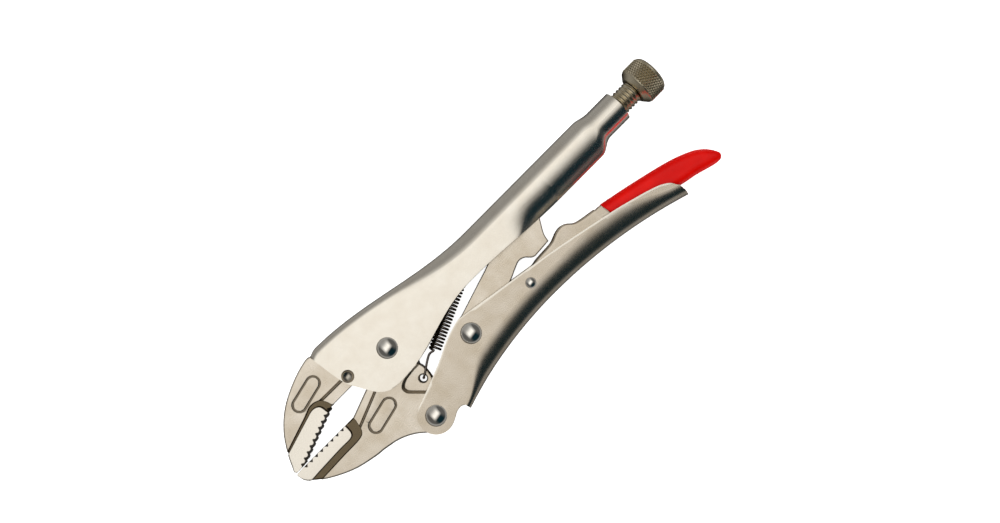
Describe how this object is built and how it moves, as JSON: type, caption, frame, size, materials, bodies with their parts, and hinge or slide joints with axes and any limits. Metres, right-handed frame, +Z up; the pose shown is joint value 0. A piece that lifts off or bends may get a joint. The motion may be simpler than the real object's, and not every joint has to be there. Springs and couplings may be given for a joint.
{
  "type": "locking pliers",
  "caption": "Locking pliers with curved jaws, sheet-steel handles, a toggle link set by a knurled adjusting screw, and a release lever with a red grip.",
  "frame": {"origin": "middle of the base of the bounding box, with the pliers lying on their side", "axes": "+X along the adjusting screw towards the knob, +Y from the lower handle to the upper handle, +Z up through the thickness, along the rivets"},
  "size_m": [0.2452, 0.0716, 0.021],
  "materials": {
    "nickel_sheet": "satin nickel plate on pressed sheet steel",
    "nickel_forging": "satin nickel plate on drop-forged steel",
    "rivet_steel": "polished domed rivet",
    "screw_steel": "brownish nickel plate, turned and knurled",
    "spring_wire": "dark drawn spring wire",
    "red_vinyl": "dipped red vinyl, semi-gloss"
  },
  "bodies": {
    "upper_body": {"upper_handle": "nickel_sheet", "fixed_jaw": "nickel_forging", "jaw_pivot_rivet": "rivet_steel", "spring_anchor": "rivet_steel", "jaw_spring": "spring_wire"},
    "jaw_body": {"movable_jaw": "nickel_forging"},
    "lower_body": {"lower_handle": "nickel_sheet", "handle_pivot_rivet": "rivet_steel", "link_pivot_rivet": "rivet_steel", "lever_pivot_rivet": "rivet_steel"},
    "link_body": {"toggle_link": "nickel_forging"},
    "lever_body": {"release_lever": "nickel_sheet", "release_grip": "red_vinyl"},
    "screw_body": {"adjusting_screw": "screw_steel"},
    "knob_body": {"adjusting_knob": "screw_steel"}
  },
  "joints": [
    {"name": "jaw_open", "type": "hinge", "parent": "upper_body", "child": "jaw_body", "pos_m": [-0.05215, 0.01237, 0.0105], "axis": [0, 0, 1], "range_deg": [0, 15.1], "deforming": ["jaw_spring"]},
    {"name": "handle_swing", "type": "hinge", "parent": "jaw_body", "child": "lower_body", "pos_m": [-0.05825, -0.02473, 0.0105], "axis": [0, 0, 1], "range_deg": [-45.1, 0]},
    {"name": "link_turn", "type": "hinge", "parent": "lower_body", "child": "link_body", "pos_m": [-0.02075, -0.00973, 0.0105], "axis": [0, 0, 1], "range_deg": [0, 51.7]},
    {"name": "lever_press", "type": "hinge", "parent": "lower_body", "child": "lever_body", "pos_m": [0.01435, -0.01283, 0.0105], "axis": [0, 0, 1], "range_deg": [0, 3]},
    {"name": "screw_travel", "type": "slide", "parent": "upper_body", "child": "screw_body", "axis": [1, 0, 0], "range_m": [0, 0.01814]},
    {"name": "knob_turn", "type": "hinge", "parent": "screw_body", "child": "knob_body", "pos_m": [0.11635, 0.01577, 0.0105], "axis": [1, 0, 0], "range_deg": [0, 3600]}
  ],
  "couplings": [
    {"joint": "jaw_open", "follows": "handle_swing", "ratio": -0.3326},
    {"joint": "link_turn", "follows": "handle_swing", "ratio": -1.1441},
    {"joint": "knob_turn", "follows": "screw_travel", "rad_per_m": 3463.2}
  ]
}
